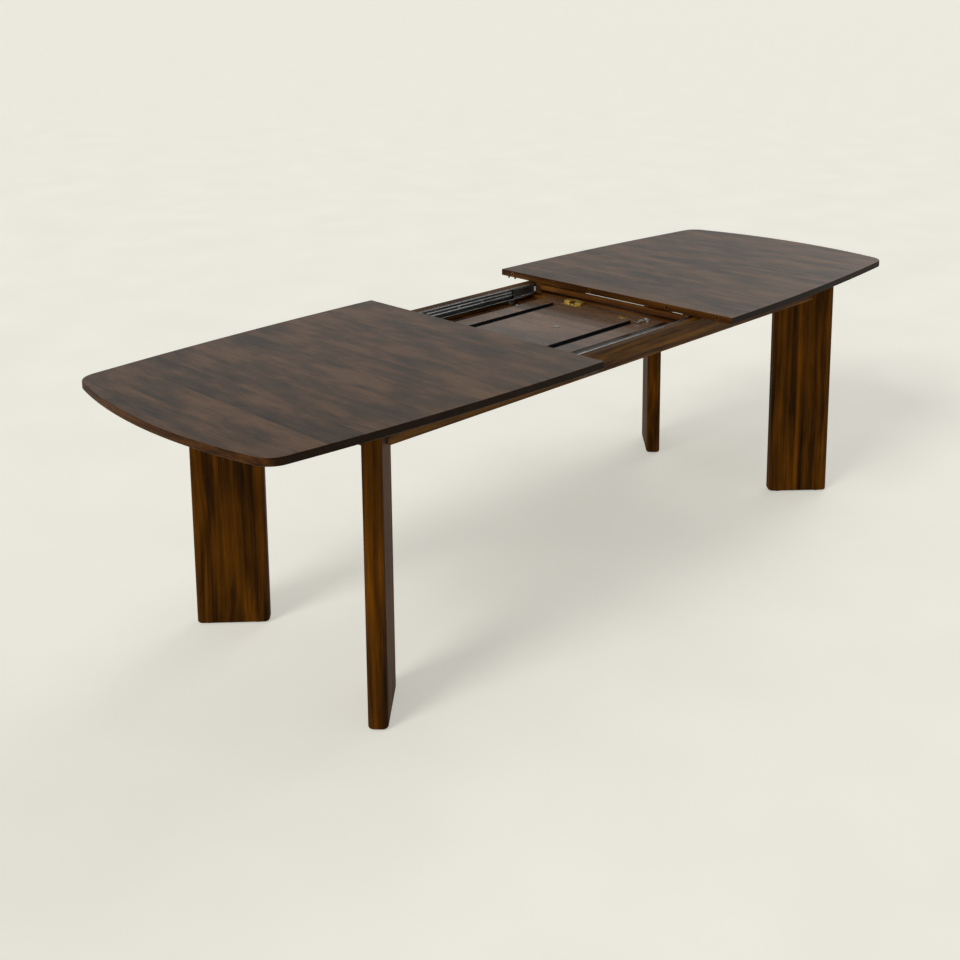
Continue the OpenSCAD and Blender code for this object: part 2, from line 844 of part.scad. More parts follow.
module cup_places(z, r, start, len) {
    for (share = cup_shares) both_x() rod_y([share * leaf_x1, leaf_w / 2 - start, z], r, len);
}

module leaf_cups(z) {
    color(brass) difference() {
        cup_places(z, cup_d / 2, cup_len, cup_len);
        cup_places(z, cup_d / 2 - cup_wall, cup_hole, cup_hole + eps);
    }
}

module stiffener_slots(z0, z1) {
    for (y = [-1, 1] * stiffener_y * (leaf_w / 456))
        box([-stiffener_len / 2, y - stiffener_w / 2, z0], [stiffener_len / 2, y + stiffener_w / 2, z1]);
}

module leaf_board(z0, face, inward) {
    mid = z0 + top_t / 2;
    color(wood) difference() {
        box([-leaf_x1, -leaf_w / 2, z0], [leaf_x1, leaf_w / 2, z0 + top_t]);
        stiffener_slots(min(face + eps * -inward, face + stiffener_h * inward),
                        max(face + eps * -inward, face + stiffener_h * inward));
        leaf_holes(mid);
        cup_places(mid, cup_d / 2, cup_len, cup_len + eps);
    }
}

// C-sections let into the underside, open to the outside
module stiffeners(face, inward) {
    low = min(face, face + stiffener_h * inward);
    color(dark_steel) difference() {
        stiffener_slots(low, low + stiffener_h);
        for (y = [-1, 1] * stiffener_y * (leaf_w / 456))
            box([-stiffener_len / 2 - eps, y - stiffener_w / 2 + stiffener_wall,
                 inward < 0 ? low + stiffener_wall : low - eps],
                [stiffener_len / 2 + eps, y + stiffener_w / 2 - stiffener_wall,
                 inward < 0 ? low + stiffener_h + eps : low + stiffener_h - stiffener_wall]);
    }
}

module leaf_lower_board() { leaf_board(lower_z0, lower_z0, 1); }

module leaf_upper_board() { leaf_board(upper_z0, leaf_top, -1); }

module leaf_lower_stiffeners() { stiffeners(lower_z0, 1); }

module leaf_upper_stiffeners() { stiffeners(leaf_top, -1); }

module leaf_lower_pins() { leaf_pins(lower_z0 + top_t / 2); }

module leaf_upper_pins() { leaf_pins(upper_z0 + top_t / 2); }

module leaf_lower_cups() { leaf_cups(lower_z0 + top_t / 2); }

module leaf_upper_cups() { leaf_cups(upper_z0 + top_t / 2); }

// A pair of brass blocks that carry a flat steel striker
module leaf_catch() {
    x = leaf_x1 - 14;
    y = 110 * (leaf_w / 456);
    block = [26, 22, 8];
    strip = [10, 70];
    color(brass) for (s = [-1, 1])
        box([x - block.x / 2, y + s * block.y - block.y / 2, leaf_top],
            [x + block.x / 2, y + s * block.y + block.y / 2, leaf_top + block.z]);
    color(steel) box([x - strip.x / 2, y - strip.y / 2, leaf_top + block.z],
                     [x + strip.x / 2, y + strip.y / 2, leaf_top + fitting_h - cap_gap]);
}

module magnet_disc() {
    color(steel) cylinder_at([14, -29, leaf_top], magnet_r, disc_t);
}

module brass_disc() {
    color(brass) cylinder_at([leaf_x1 - 38, -101 * (leaf_w / 456), leaf_top], brass_disc_r, disc_t);
}

at_corner(-1, -1) leg();  // leg_front_left
at_corner(1, -1) leg();  // leg_front_right
at_corner(-1, 1) leg();  // leg_back_left
at_corner(1, 1) leg();  // leg_back_right
apron_front();
apron_back();
end_rails();
corner_blocks();
shadow_plates();
leg_bolts();
foot_glides();
cross_rails();
rail_hangers();
bay_rails();
slide_channels();
slide_screws();
glide_pads();
pivot_brackets();
leaf_rests();
top_left();
runners_left();
slide_members_left();
inner_bar_left();
battens_left();
bumpers_left();
alignment_pins();
latch_bases_left();
screws_left();
top_right();
runners_right();
slide_members_right();
inner_bar_right();
battens_right();
bumpers_right();
pin_bushes();
keepers_right();
screws_right();
ball_cages_left();
ball_cages_right();
latch_lever_front();
latch_lever_back();
leaf_lever_lower();
leaf_lever_upper();
swing_arms_a();
swing_shaft();
swing_arms_b();
leaf_lower_board();
leaf_lower_stiffeners();
leaf_brackets();
leaf_lower_pins();
leaf_lower_cups();
leaf_lower_locks();
leaf_upper_board();
leaf_upper_stiffeners();
leaf_upper_pins();
leaf_upper_cups();
leaf_upper_locks();
leaf_catch();
magnet_disc();
brass_disc();
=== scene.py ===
import json
from math import radians
import bmesh
import bpy
from mathutils import Euler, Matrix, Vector

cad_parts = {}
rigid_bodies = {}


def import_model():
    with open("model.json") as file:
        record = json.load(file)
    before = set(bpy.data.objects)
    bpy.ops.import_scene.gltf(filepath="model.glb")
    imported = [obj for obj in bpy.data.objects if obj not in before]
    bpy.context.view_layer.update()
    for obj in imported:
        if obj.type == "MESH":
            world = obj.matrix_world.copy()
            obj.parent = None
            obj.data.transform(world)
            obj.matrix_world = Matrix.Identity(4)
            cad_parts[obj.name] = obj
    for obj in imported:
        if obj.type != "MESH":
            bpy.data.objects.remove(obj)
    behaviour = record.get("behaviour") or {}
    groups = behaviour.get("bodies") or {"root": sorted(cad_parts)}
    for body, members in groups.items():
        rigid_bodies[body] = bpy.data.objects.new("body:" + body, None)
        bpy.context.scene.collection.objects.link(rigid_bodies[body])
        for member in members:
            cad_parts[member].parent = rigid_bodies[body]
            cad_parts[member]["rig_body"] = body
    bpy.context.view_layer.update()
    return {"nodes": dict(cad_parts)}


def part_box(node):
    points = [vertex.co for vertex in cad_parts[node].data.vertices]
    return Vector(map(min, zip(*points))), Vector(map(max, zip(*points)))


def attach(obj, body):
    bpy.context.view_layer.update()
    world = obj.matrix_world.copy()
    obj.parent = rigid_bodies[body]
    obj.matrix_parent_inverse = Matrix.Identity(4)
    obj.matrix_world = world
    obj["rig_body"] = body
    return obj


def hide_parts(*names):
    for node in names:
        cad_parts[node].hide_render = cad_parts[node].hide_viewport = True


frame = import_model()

nodes = frame["nodes"]


# ---- Camera ----
# Stands off the near left corner a little above the top and looks slightly down along the table.
camera = bpy.data.objects.new("camera", bpy.data.cameras.new("camera"))
bpy.context.scene.collection.objects.link(camera)
bpy.context.scene.camera = camera
camera.location = (-2.7222, -2.4523, 1.7172)
turn = Euler((0, 0, radians(-44.984))).to_matrix()
tip = Euler((radians(90 - 10.432), 0, 0)).to_matrix()
roll = Euler((0, 0, radians(-0.469))).to_matrix()
camera.rotation_euler = (turn @ tip @ roll).to_euler()
camera.data.sensor_width = 36
camera.data.lens = 48.063
camera.data.shift_y = -0.28
camera.data.clip_end = 2500


# ---- Floor and studio light ----
# A pale translucent floor, lit softly from below so that shadows stay faint, under a dim room that
# is a little brighter overhead, with a broad soft lamp at each end of the table.
def tone(code):
    """An sRGB hex value as the linear colour that a socket holds."""
    parts = [int(code[i:i + 2], 16) / 255 for i in (1, 3, 5)]
    return [p / 12.92 if p <= 0.04045 else ((p + 0.055) / 1.055) ** 2.4 for p in parts] + [1.0]


def add(tree, kind, values={}, links={}, stops=(), **settings):
    """Adds one node with its settings, its sockets' values, what feeds them and a ramp's colours."""
    made = tree.nodes.new("ShaderNode" + kind)
    for name, value in settings.items():
        setattr(made, name, value)
    for socket, value in values.items():
        made.inputs[socket].default_value = value
    for socket, source in links.items():
        tree.links.new(source, made.inputs[socket])
    for i, (place, code) in enumerate(stops):
        element = made.color_ramp.elements[i] if i < 2 else made.color_ramp.elements.new(place)
        element.position, element.color = place, tone(code)
    return made


def new_finish(name, rough, metallic=0.0, level=0.5, coat=0.0, coat_rough=0.2):
    """A material with its Principled shader set for one finish; gives the material, its tree and shader."""
    made = bpy.data.materials.new(name)
    made.use_nodes = True
    shader = made.node_tree.nodes["Principled BSDF"]
    shader.inputs["Roughness"].default_value = rough
    shader.inputs["Metallic"].default_value = metallic
    shader.inputs["Specular IOR Level"].default_value = level
    shader.inputs["Coat Weight"].default_value = coat
    shader.inputs["Coat Roughness"].default_value = coat_rough
    return made, made.node_tree, shader


# opal acrylic sheet: a faint mottle a few hundred millimetres across
floor_paint, tree, shader = new_finish("lit_opal_acrylic_floor", 0.9, level=0.05)
place = add(tree, "TexCoord").outputs["Object"]
mottle = add(tree, "TexNoise", values={"Scale": 2.5, "Detail": 3.0}, links={"Vector": place})
shade = add(tree, "ValToRGB", links={"Fac": mottle.outputs["Fac"]},
            stops=[(0.3, "#e2e1d8"), (0.7, "#e6e5dc")])
tree.links.new(shade.outputs["Color"], shader.inputs["Base Color"])
tree.links.new(shade.outputs["Color"], shader.inputs["Emission Color"])
shader.inputs["Emission Strength"].default_value = 0.52
bpy.ops.mesh.primitive_plane_add(size=2000, location=(0, 0, 0))
floor = bpy.context.object
floor.name = "floor"
floor.data.materials.append(floor_paint)

room = bpy.data.worlds.new("studio")
bpy.context.scene.world = room
room.use_nodes = True
tree = room.node_tree
tree.nodes.clear()
ways = add(tree, "TexCoord").outputs["Generated"]
height = add(tree, "SeparateXYZ", links={0: ways}).outputs["Z"]
ceiling = add(tree, "ValToRGB", links={"Fac": height},
              stops=[(0.17, "#d6d4d2"), (1.0, "#8f8e8c"), (0.24, "#c6c4c2"),
                     (0.31, "#9c9a98"), (0.42, "#757472")])
seen = add(tree, "RGB")
seen.outputs[0].default_value = tone("#ebe9de")
path = add(tree, "LightPath").outputs["Is Camera Ray"]
lit = add(tree, "Background", values={"Strength": 1.0}, links={"Color": ceiling.outputs["Color"]})
backdrop = add(tree, "Background", values={"Strength": 1.0}, links={"Color": seen.outputs[0]})
both = add(tree, "MixShader", links={0: path, 1: lit.outputs[0], 2: backdrop.outputs[0]})
add(tree, "OutputWorld", links={"Surface": both.outputs[0]})


def studio_lamp(name, aim, strength, spread):
    """A distant soft lamp that shines along aim."""
    lamp = bpy.data.objects.new(name, bpy.data.lights.new(name, "SUN"))
    bpy.context.scene.collection.objects.link(lamp)
    lamp.rotation_euler = Vector(aim).to_track_quat("-Z", "Y").to_euler()
    lamp.data.energy = strength
    lamp.data.angle = radians(spread)
    lamp.data.color = tone("#fffdf8")[:3]


studio_lamp("lamp_left_end", (0.86, 0.03, -0.60), 1.12, 22)
studio_lamp("lamp_right_end", (-0.80, -0.16, -0.60), 0.42, 34)
bpy.context.scene.view_settings.view_transform = "Standard"


# ---- Legs ----
# Four solid walnut planks set at an angle across the corners, stained dark and oiled. The long edges
# are rounded on a spindle moulder and the foot has a hand-rounded arris.
def stained_walnut(name, grain, stops, plank=None, rough=0.42, level=0.3, mix=(0.62, 0.5, 0.22, 0.0),
                   streak_scale=52.0, cloud_scale=9.0, end_dark=0.5):
    """Stained walnut with its grain along one axis. Streaks are 5 to 20 mm wide and run on for
    about a metre, cloudy patches are 60 to 150 mm, pores about 0.5 mm wide and drawn at 1 mm to show.
    plank=(axis, width) glues it up from boards of that width, each with its own figure and tone.
    mix weighs streaks, clouds, pores and each board's own tone."""
    made, tree, shader = new_finish(name, rough, level=level)
    source = add(tree, "TexCoord")
    place = source.outputs["Object"]
    tint = None
    if plank:
        parts = add(tree, "SeparateXYZ", links={0: place})
        boards = add(tree, "Math", operation="DIVIDE", values={1: plank[1]},
                     links={0: parts.outputs[plank[0]]})
        board = add(tree, "Math", operation="FLOOR", links={0: boards.outputs[0]})
        own = add(tree, "TexWhiteNoise", noise_dimensions="1D", links={"W": board.outputs[0]})
        jump = add(tree, "VectorMath", operation="SCALE", values={"Scale": 3.0},
                   links={0: own.outputs["Color"]})
        place = add(tree, "VectorMath", operation="ADD", links={0: place, 1: jump.outputs[0]}).outputs[0]
        tint = own.outputs["Value"]

    def along(share):
        stretch = [share if axis == grain else 1.0 for axis in range(3)]
        return add(tree, "VectorMath", operation="MULTIPLY", values={1: stretch}, links={0: place}).outputs[0]

    sway = add(tree, "TexNoise", values={"Scale": 5.0, "Detail": 1.0}, links={"Vector": along(0.35)})
    swayed = add(tree, "VectorMath", operation="MULTIPLY_ADD", values={1: (0.03, 0.03, 0.03)},
                 links={0: sway.outputs["Color"], 2: along(0.035)}).outputs[0]
    streak = add(tree, "TexNoise", links={"Vector": swayed},
                 values={"Scale": streak_scale, "Detail": 3.0, "Roughness": 0.6})
    cloud = add(tree, "TexNoise", links={"Vector": along(0.35)},
                values={"Scale": cloud_scale, "Detail": 4.0, "Roughness": 0.6})
    pore = add(tree, "TexNoise", links={"Vector": along(0.03)},
               values={"Scale": 520.0, "Detail": 2.0, "Roughness": 0.7})
    total = add(tree, "Math", operation="MULTIPLY", values={1: mix[0]}, links={0: streak.outputs["Fac"]})
    layers = [(mix[1], cloud.outputs["Fac"]), (mix[2], pore.outputs["Fac"])]
    if tint:
        layers.append((mix[3], tint))
    for weight, layer in layers:
        total = add(tree, "Math", operation="MULTIPLY_ADD", values={1: weight},
                    links={0: layer, 2: total.outputs[0]})
    middle = sum(mix[:4 if tint else 3]) / 2
    spread = [(min(1.0, max(0.0, middle + offset)), code) for offset, code in stops]
    colour = add(tree, "ValToRGB", links={"Fac": total.outputs[0]}, stops=spread).outputs["Color"]
    # end grain drinks more stain, so it turns darker
    facing = add(tree, "SeparateXYZ", links={0: source.outputs["Normal"]}).outputs[grain]
    turned = add(tree, "Math", operation="ABSOLUTE", links={0: facing})
    share = add(tree, "MapRange", values={1: 0.5, 2: 1.0, 3: 0.0, 4: end_dark}, links={0: turned.outputs[0]})
    dark = add(tree, "Mix", data_type="RGBA", values={7: tone("#120a04")},
               links={0: share.outputs[0], 6: colour})
    tree.links.new(dark.outputs[2], shader.inputs["Base Color"])
    gloss = add(tree, "MapRange", values={1: 0.3, 2: 0.7, 3: rough + 0.07, 4: rough - 0.05},
                links={0: pore.outputs["Fac"]})
    tree.links.new(gloss.outputs[0], shader.inputs["Roughness"])
    bump = add(tree, "Bump", values={"Strength": 0.25, "Distance": 0.0004},
               links={"Height": pore.outputs["Fac"]})
    tree.links.new(bump.outputs[0], shader.inputs["Normal"])
    return made


def pick(piece):
    """Deselects everything and makes one piece active."""
    bpy.ops.object.select_all(action="DESELECT")
    piece.select_set(True)
    bpy.context.view_layer.objects.active = piece


def coat(piece, finish):
    """Puts one finish on all of a piece."""
    if not piece.data.materials:
        piece.data.materials.append(finish)
    for held in piece.material_slots:
        held.material = finish


def sharp_long(edge):
    """A sharp edge that isn't a facet of a hole's rim."""
    return edge.calc_length() > 0.008 and len(edge.link_faces) == 2 and edge.calc_face_angle() > radians(50)


def eased(node, name, finish, width, choose=sharp_long, steps=3):
    """Copies a CAD node's mesh, welds it, eases the arrises that choose() takes, and lets it stand
    for the node."""
    piece = bpy.data.objects.new(name, nodes[node].data.copy())
    bpy.context.scene.collection.objects.link(piece)
    pick(piece)
    bpy.ops.object.mode_set(mode="EDIT")
    bpy.ops.mesh.select_mode(type="EDGE")
    bpy.ops.mesh.select_all(action="SELECT")
    bpy.ops.mesh.remove_doubles(threshold=0.00002)
    bpy.ops.mesh.dissolve_limited(angle_limit=radians(0.05))
    bpy.ops.mesh.select_all(action="DESELECT")
    shape = bmesh.from_edit_mesh(piece.data)
    for edge in shape.edges:
        if choose(edge):
            edge.select = True
    bmesh.update_edit_mesh(piece.data)
    bpy.ops.mesh.bevel(offset=width, segments=steps, affect="EDGES", clamp_overlap=False)
    bpy.ops.object.mode_set(mode="OBJECT")
    bpy.ops.object.shade_smooth_by_angle(angle=radians(40))
    bpy.ops.object.modifier_add(type="WEIGHTED_NORMAL")
    piece.modifiers[-1].keep_sharp = True
    bpy.ops.object.modifier_apply(modifier=piece.modifiers[-1].name)
    coat(piece, finish)
    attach(piece, nodes[node]["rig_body"])
    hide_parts(node)
    return piece


leg_walnut = stained_walnut("oiled_stained_walnut_legs", 2,
                            [(-0.20, "#170b00"), (0.22, "#774503"), (-0.08, "#341b00"),
                             (0.0, "#482800"), (0.09, "#5a3300")],
                            rough=0.55, level=0.04, mix=(0.75, 0.35, 0.16, 0.0), streak_scale=58.0)
foot_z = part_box("leg_front_left")[0].z


def foot_arris(edge):
    return all(abs(v.co.z - foot_z) < 0.0005 for v in edge.verts)


for corner in ("front_left", "front_right", "back_left", "back_right"):
    eased("leg_" + corner, "leg_plank_" + corner, leg_walnut, 0.006, choose=foot_arris, steps=4)


# ---- Foot glides ----
# Black felt-faced nylon discs, screwed under the legs.
glide_nylon, tree, shader = new_finish("black_nylon_felt", 0.8)
place = add(tree, "TexCoord").outputs["Object"]
fuzz = add(tree, "TexNoise", values={"Scale": 900.0, "Detail": 2.0}, links={"Vector": place})
shade = add(tree, "ValToRGB", links={"Fac": fuzz.outputs["Fac"]}, stops=[(0.3, "#0c0c0d"), (0.7, "#1c1c1e")])
tree.links.new(shade.outputs["Color"], shader.inputs["Base Color"])
coat(nodes["foot_glides"], glide_nylon)


# ---- Aprons and end rails ----
# Straight-grained walnut rails with mitred ends that stop short of the legs. They carry the slides.
apron_walnut = stained_walnut("oiled_stained_walnut_aprons", 0,
                              [(-0.18, "#1d0e00"), (0.22, "#8a5816"), (-0.07, "#3a2002"),
                               (0.02, "#533305"), (0.11, "#6b450d")],
                              rough=0.48, level=0.10, mix=(0.8, 0.35, 0.16, 0.0), streak_scale=60.0)
rail_walnut = stained_walnut("oiled_stained_walnut_rails", 1,
                             [(-0.20, "#231002"), (0.24, "#8a551c"), (-0.07, "#432406"),
                              (0.03, "#5c350c"), (0.12, "#744714")],
                             rough=0.45, level=0.22)
eased("apron_front", "front_apron_rail", apron_walnut, 0.0015)
eased("apron_back", "back_apron_rail", apron_walnut, 0.0015)
eased("end_rails", "end_rail_pair", rail_walnut, 0.0015)


# ---- Corner blocks, bolts and shadow plates ----
# Beech-hard corner blocks of the same walnut, bolted through the legs with zinc-plated hexagon
# bolts. Steel plates sit in the gap between rail and leg, coated black as painted shade for the gap.
inner_walnut = stained_walnut("plain_walnut_inner_parts", 0,
                              [(-0.20, "#2a1504"), (0.24, "#8e5c26"), (-0.07, "#4a2b0c"),
                               (0.03, "#643d14"), (0.12, "#7a4c1b")],
                              rough=0.55, level=0.2)
eased("corner_blocks", "corner_block_set", inner_walnut, 0.0015)


def brushed_metal(name, dark, light, rough, scale=700.0, grain=(1.0, 1.0, 1.0), metallic=1.0):
    """Metal with a fine drawn or rolled texture: lines about 0.5 mm apart, drawn as 1.5 mm to show."""
    made, tree, shader = new_finish(name, rough, metallic=metallic)
    place = add(tree, "TexCoord").outputs["Object"]
    drawn = add(tree, "VectorMath", operation="MULTIPLY", values={1: grain}, links={0: place}).outputs[0]
    lines = add(tree, "TexNoise", values={"Scale": scale, "Detail": 2.0}, links={"Vector": drawn})
    smear = add(tree, "TexNoise", values={"Scale": 40.0, "Detail": 3.0}, links={"Vector": place})
    shade = add(tree, "ValToRGB", links={"Fac": lines.outputs["Fac"]}, stops=[(0.3, dark), (0.7, light)])
    tree.links.new(shade.outputs["Color"], shader.inputs["Base Color"])
    gloss = add(tree, "MapRange", values={1: 0.3, 2: 0.7, 3: rough * 0.75, 4: rough * 1.25},
                links={0: smear.outputs["Fac"]})
    tree.links.new(gloss.outputs[0], shader.inputs["Roughness"])
    bump = add(tree, "Bump", values={"Strength": 0.12, "Distance": 0.0002},
               links={"Height": lines.outputs["Fac"]})
    tree.links.new(bump.outputs[0], shader.inputs["Normal"])
    return made


zinc_plate = brushed_metal("zinc_plated_steel", "#a9abad", "#c9cbcd", 0.32)
black_enamel = brushed_metal("black_baked_enamel_steel", "#101112", "#1d1e20", 0.42, metallic=0.0)
coat(nodes["leg_bolts"], zinc_plate)
# the black coat on the shadow plates is painted shade that keeps the gap between rail and leg dark
coat(nodes["shadow_plates"], black_enamel)


# ---- Cross rails, hangers, brackets and rests ----
# Walnut rails hung from cranked steel straps below the slides, with the pivot ears and the padded
# rests of the folding leaf screwed on top.
eased("cross_rails", "cross_rail_pair", rail_walnut, 0.002)
eased("bay_rails", "bay_rail_pair", rail_walnut, 0.0015)
brown_enamel = brushed_metal("brown_baked_enamel_steel", "#2a1606", "#38200c", 0.45, metallic=0.0)
coat(nodes["rail_hangers"], brown_enamel)
for node in ("pivot_brackets", "leaf_rests"):
    coat(nodes[node], black_enamel)


# ---- Slide channels ----
# Cold-rolled steel drawer-slide channels, zinc plated, screwed along the inside of the aprons.
rolled_zinc = brushed_metal("rolled_dark_zinc_slide_steel", "#4c5053", "#6d7275", 0.38,
                            grain=(0.02, 1.0, 1.0))
painted_highlight_zinc = brushed_metal("zinc_painted_highlight_edge", "#d9dcde", "#f2f4f5", 0.22, grain=(0.02, 1.0, 1.0))
channel = eased("slide_channels", "slide_channel_pair", rolled_zinc, 0.0005, steps=2)
low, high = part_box("slide_channels")
pick(channel)
bpy.ops.object.mode_set(mode="EDIT")
# a band 3.5 mm from each web is cut off so that the rolled top edge can take a painted highlight
for cut in (high.y - 0.0035, -high.y + 0.0035):
    bpy.ops.mesh.select_all(action="SELECT")
    bpy.ops.mesh.bisect(plane_co=(0, cut, 0), plane_no=(0, 1, 0))
bpy.ops.object.mode_set(mode="OBJECT")
# the rolled top edge and the lip ends are coloured bright: a painted highlight for the glint along the slide
# lips
channel.data.materials.append(painted_highlight_zinc)
for face in channel.data.polygons:
    place = face.center
    rolled = place.z > high.z - 0.0006 and abs(place.y) > high.y - 0.0035
    lip_end = abs(place.y) < high.y - 0.0118
    face.material_index = 1 if rolled or lip_end else 0
coat(nodes["slide_screws"], zinc_plate)


# ---- Beads in the slide channels ----
# Two long half-round beads pressed into each channel's web stiffen it. They are zinc-plated steel,
# coloured bright along their length as painted highlights on the web.
web_y, mid_z = high.y - 0.0015, (low.z + high.z) / 2
for wall in (1, -1):
    for name, drop in (("upper", 0.0052), ("lower", -0.0052)):
        bpy.ops.mesh.primitive_cylinder_add(vertices=20, radius=0.0022, depth=high.x * 1.9,
                                            location=(0, wall * web_y, mid_z + drop),
                                            rotation=(0, radians(90), 0))
        bead = bpy.context.object
        bead.name = "channel_bead_%s_%s" % (name, "back" if wall > 0 else "front")
        bpy.ops.object.transform_apply(location=True, rotation=True, scale=True)
        bpy.ops.object.mode_set(mode="EDIT")
        bpy.ops.mesh.select_all(action="SELECT")
        bpy.ops.mesh.bisect(plane_co=(0, wall * (web_y + 0.0008), 0), plane_no=(0, wall, 0),
                            use_fill=True, clear_outer=True)
        bpy.ops.object.mode_set(mode="OBJECT")
        bpy.ops.object.shade_smooth_by_angle(angle=radians(40))
        # the bright coat on the beads is a painted highlight
        coat(bead, painted_highlight_zinc)
        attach(bead, "frame")


# ---- Glide pads and bumpers ----
# White acetal blocks: low pads that the halves glide over, and end stops for the slides.
acetal, tree, shader = new_finish("white_moulded_acetal", 0.4)
place = add(tree, "TexCoord").outputs["Object"]
swirl = add(tree, "TexNoise", values={"Scale": 160.0, "Detail": 2.0}, links={"Vector": place})
shade = add(tree, "ValToRGB", links={"Fac": swirl.outputs["Fac"]}, stops=[(0.3, "#d9d9d4"), (0.7, "#eeeeea")])
tree.links.new(shade.outputs["Color"], shader.inputs["Base Color"])
for node in ("glide_pads", "bumpers_left", "bumpers_right"):
    eased(node, node + "_moulded", acetal, 0.0008, steps=2)


# ---- Slide members and ball cages ----
# The moving steel members on the halves' runners, and the ball cages that roll between them.
cage_steel = brushed_metal("dark_phosphated_cage_steel", "#4a4d50", "#62666a", 0.36, grain=(0.02, 1.0, 1.0))
polished = brushed_metal("polished_ball_steel", "#dfe2e5", "#f4f6f8", 0.14)
for side in ("left", "right"):
    coat(nodes["slide_members_" + side], rolled_zinc)
    cage = eased("ball_cages_" + side, "ball_cage_pair_" + side, cage_steel, 0.0003, steps=2)
    cage.data.materials.append(polished)
    low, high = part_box("ball_cages_" + side)
    rows = (low.z + 0.0027, high.z - 0.0027)
    for face in cage.data.polygons:
        off = min(abs(face.center.z - row) for row in rows)
        face.material_index = 1 if 0.0008 < off < 0.0028 and abs(face.center.y) < high.y - 0.0011 else 0


# ---- Top halves ----
# Two boards glued up from stained walnut staves that run across the table, with bowed sides and
# ends and eased arrises, under a satin oil finish.
top_walnut = stained_walnut("satin_stained_walnut_top", 1,
                            [(-0.22, "#2b2117"), (0.22, "#795a3c"), (-0.08, "#43311f"),
                             (0.0, "#573f29"), (0.08, "#694c33")],
                            plank=(0, 0.095), rough=0.38, level=0.5, mix=(0.34, 0.85, 0.24, 0.05),
                            streak_scale=34.0, cloud_scale=14.0, end_dark=0.9)
edge_walnut = stained_walnut("oiled_stained_walnut_board_edge", 1,
                             [(-0.20, "#180b01"), (0.24, "#6c4110"), (-0.07, "#341b05"),
                              (0.03, "#472808"), (0.12, "#58340b")],
                             rough=0.5, level=0.08, mix=(0.7, 0.4, 0.16, 0.0),
                             streak_scale=60.0, end_dark=0.9)
top_low, top_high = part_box("top_left")[0].z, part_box("top_left")[1].z


def board_arris(edge):
    """The rims of the board, above and below, and the upright corners; not the rims of the pin holes."""
    ends = [v.co for v in edge.verts]
    rim = any(all(abs(p.z - z) < 0.0003 for p in ends) for z in (top_low, top_high))
    return (rim or edge.calc_length() > 0.019) and len(edge.link_faces) == 2 \
        and edge.calc_face_angle() > radians(50)


for side in ("left", "right"):
    board = eased("top_" + side, "top_board_" + side, top_walnut, 0.0022,
                  choose=board_arris, steps=4)
    board.data.materials.append(edge_walnut)
    for face in board.data.polygons:
        face.material_index = 1 if abs(face.normal.z) < 0.7 else 0


# ---- Alignment pins and bushes ----
# Steel dowel pins in the left half's edge, and brass bushes for them in the right half's edge.
brass_turned = brushed_metal("turned_brass", "#e6c35a", "#fbe290", 0.32)
coat(nodes["alignment_pins"], zinc_plate)
bronzed = brushed_metal("dark_bronzed_bush_brass", "#8a6430", "#9a7038", 0.5)
coat(nodes["pin_bushes"], bronzed)


# ---- Runners, bars and battens ----
# Plain walnut strips screwed under each half: runners that hold the slide members, a bar across the
# inner edge, and battens that keep the board flat.
for side in ("left", "right"):
    eased("runners_" + side, "runner_strips_" + side, inner_walnut, 0.0015)
    eased("inner_bar_" + side, "edge_bar_" + side, rail_walnut, 0.0015)
    eased("battens_" + side, "batten_set_" + side, inner_walnut, 0.0015)
    coat(nodes["screws_" + side], zinc_plate)


# ---- Locks under the halves ----
# Pressed steel levers that turn on a riveted post and hook over a stud, nickel plated.
gunmetal = brushed_metal("black_nickel_plated_lock_steel", "#3c3d40", "#505256", 0.34)
nickel = brushed_metal("bright_nickel_plated_lock_steel", "#e6e4df", "#fbf9f4", 0.3)


def fillet(edge):
    """Sharp rims of a pressed part, with its round rims; only ones long enough to take a fillet."""
    return edge.calc_length() > 0.0004 and len(edge.link_faces) == 2 and edge.calc_face_angle() > radians(60)


eased("latch_bases_left", "lock_base_pair_left", black_enamel, 0.0004, choose=fillet, steps=2)
eased("latch_lever_front", "lock_lever_front", gunmetal, 0.0006, choose=fillet, steps=2)
eased("latch_lever_back", "lock_lever_back", gunmetal, 0.0006, choose=fillet, steps=2)
eased("keepers_right", "lock_keeper_set_right", brown_enamel, 0.0004, choose=fillet, steps=2)


# ---- Lever grips ----
# Black moulded nylon grips pressed on the hooked ends of the left half's lock levers.
grip_nylon, tree, shader = new_finish("black_moulded_nylon", 0.38)
place = add(tree, "TexCoord").outputs["Object"]
fine = add(tree, "TexNoise", values={"Scale": 1500.0, "Detail": 1.0}, links={"Vector": place})
shade = add(tree, "ValToRGB", links={"Fac": fine.outputs["Fac"]}, stops=[(0.3, "#09090a"), (0.7, "#151516")])
tree.links.new(shade.outputs["Color"], shader.inputs["Base Color"])
for body, node, out in (("front_latch", "latch_lever_front", -1), ("back_latch", "latch_lever_back", 1)):
    low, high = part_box(node)
    tip = (low.x + 0.010, (high.y - 0.0035) if out > 0 else (low.y + 0.0035), low.z + 0.0012)
    bpy.ops.mesh.primitive_cube_add(size=1, location=tip)
    grip = bpy.context.object
    grip.name = "lever_grip_" + ("back" if out > 0 else "front")
    bpy.ops.transform.resize(value=(0.017, 0.0085, 0.0046))
    bpy.ops.object.transform_apply(location=True, rotation=True, scale=True)
    bpy.ops.object.mode_set(mode="EDIT")
    bpy.ops.mesh.select_all(action="SELECT")
    bpy.ops.mesh.bevel(offset=0.0016, segments=3, affect="EDGES")
    bpy.ops.object.mode_set(mode="OBJECT")
    bpy.ops.object.shade_smooth_by_angle(angle=radians(40))
    coat(grip, grip_nylon)
    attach(grip, body)


# ---- Swing arms and shaft ----
# Flat black steel arms and a ground steel shaft that lift the leaf.
for node in ("swing_arms_a", "swing_arms_b", "leaf_brackets"):
    coat(nodes[node], black_enamel)
coat(nodes["swing_shaft"], zinc_plate)


